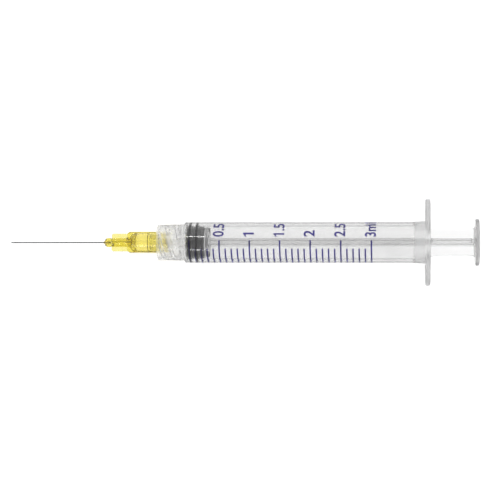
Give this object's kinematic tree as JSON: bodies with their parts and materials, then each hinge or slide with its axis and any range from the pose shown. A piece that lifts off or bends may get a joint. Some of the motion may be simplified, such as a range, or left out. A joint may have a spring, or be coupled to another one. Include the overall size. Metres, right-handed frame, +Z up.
{
  "type": "syringe",
  "caption": "Clear disposable 3 ml Luer-lock syringe lying flat, plunger pressed in, with a fine side-vented needle in a yellow finned hub.",
  "frame": {"origin": "on the resting surface, under the middle of the syringe's length", "axes": "+X along the barrel towards the thumb rest, -X towards the needle; Y along the finger flange; +Z up, on the side with the printed scale"},
  "size_m": [0.1226, 0.0224, 0.012],
  "materials": {
    "clear_plastic": "clear moulded polypropylene with a slight haze",
    "grey_rubber": "smooth dark grey rubber, silicone-oiled",
    "rod_plastic": "translucent moulded polypropylene",
    "yellow_plastic": "translucent yellow moulded plastic",
    "steel": "drawn stainless steel tube",
    "adhesive": "clear cured adhesive"
  },
  "bodies": {
    "barrel": {"barrel": "clear_plastic"},
    "stopper": {"stopper": "grey_rubber"},
    "rod": {"plunger_rod": "rod_plastic"},
    "needle_bond": {"adhesive_bead": "adhesive"},
    "needle": {"needle_hub": "yellow_plastic", "cannula": "steel"}
  },
  "joints": [
    {"name": "plunger_slide", "type": "slide", "parent": "barrel", "child": "stopper", "axis": [1, 0, 0], "range_m": [0, 0.0555]},
    {"name": "rod_turn", "type": "hinge", "parent": "stopper", "child": "rod", "pos_m": [-0.00978, 0, 0.006], "axis": [1, 0, 0], "continuous": true},
    {"name": "needle_advance", "type": "slide", "parent": "barrel", "child": "needle_bond", "axis": [-1, 0, 0], "range_m": [0, 0.0028]},
    {"name": "hub_twist", "type": "hinge", "parent": "needle_bond", "child": "needle", "pos_m": [-0.01978, 0, 0.006], "axis": [-1, 0, 0], "range_deg": [0, 201.8]}
  ],
  "couplings": [
    {"joint": "hub_twist", "follows": "needle_advance", "rad_per_m": 1256.6}
  ]
}
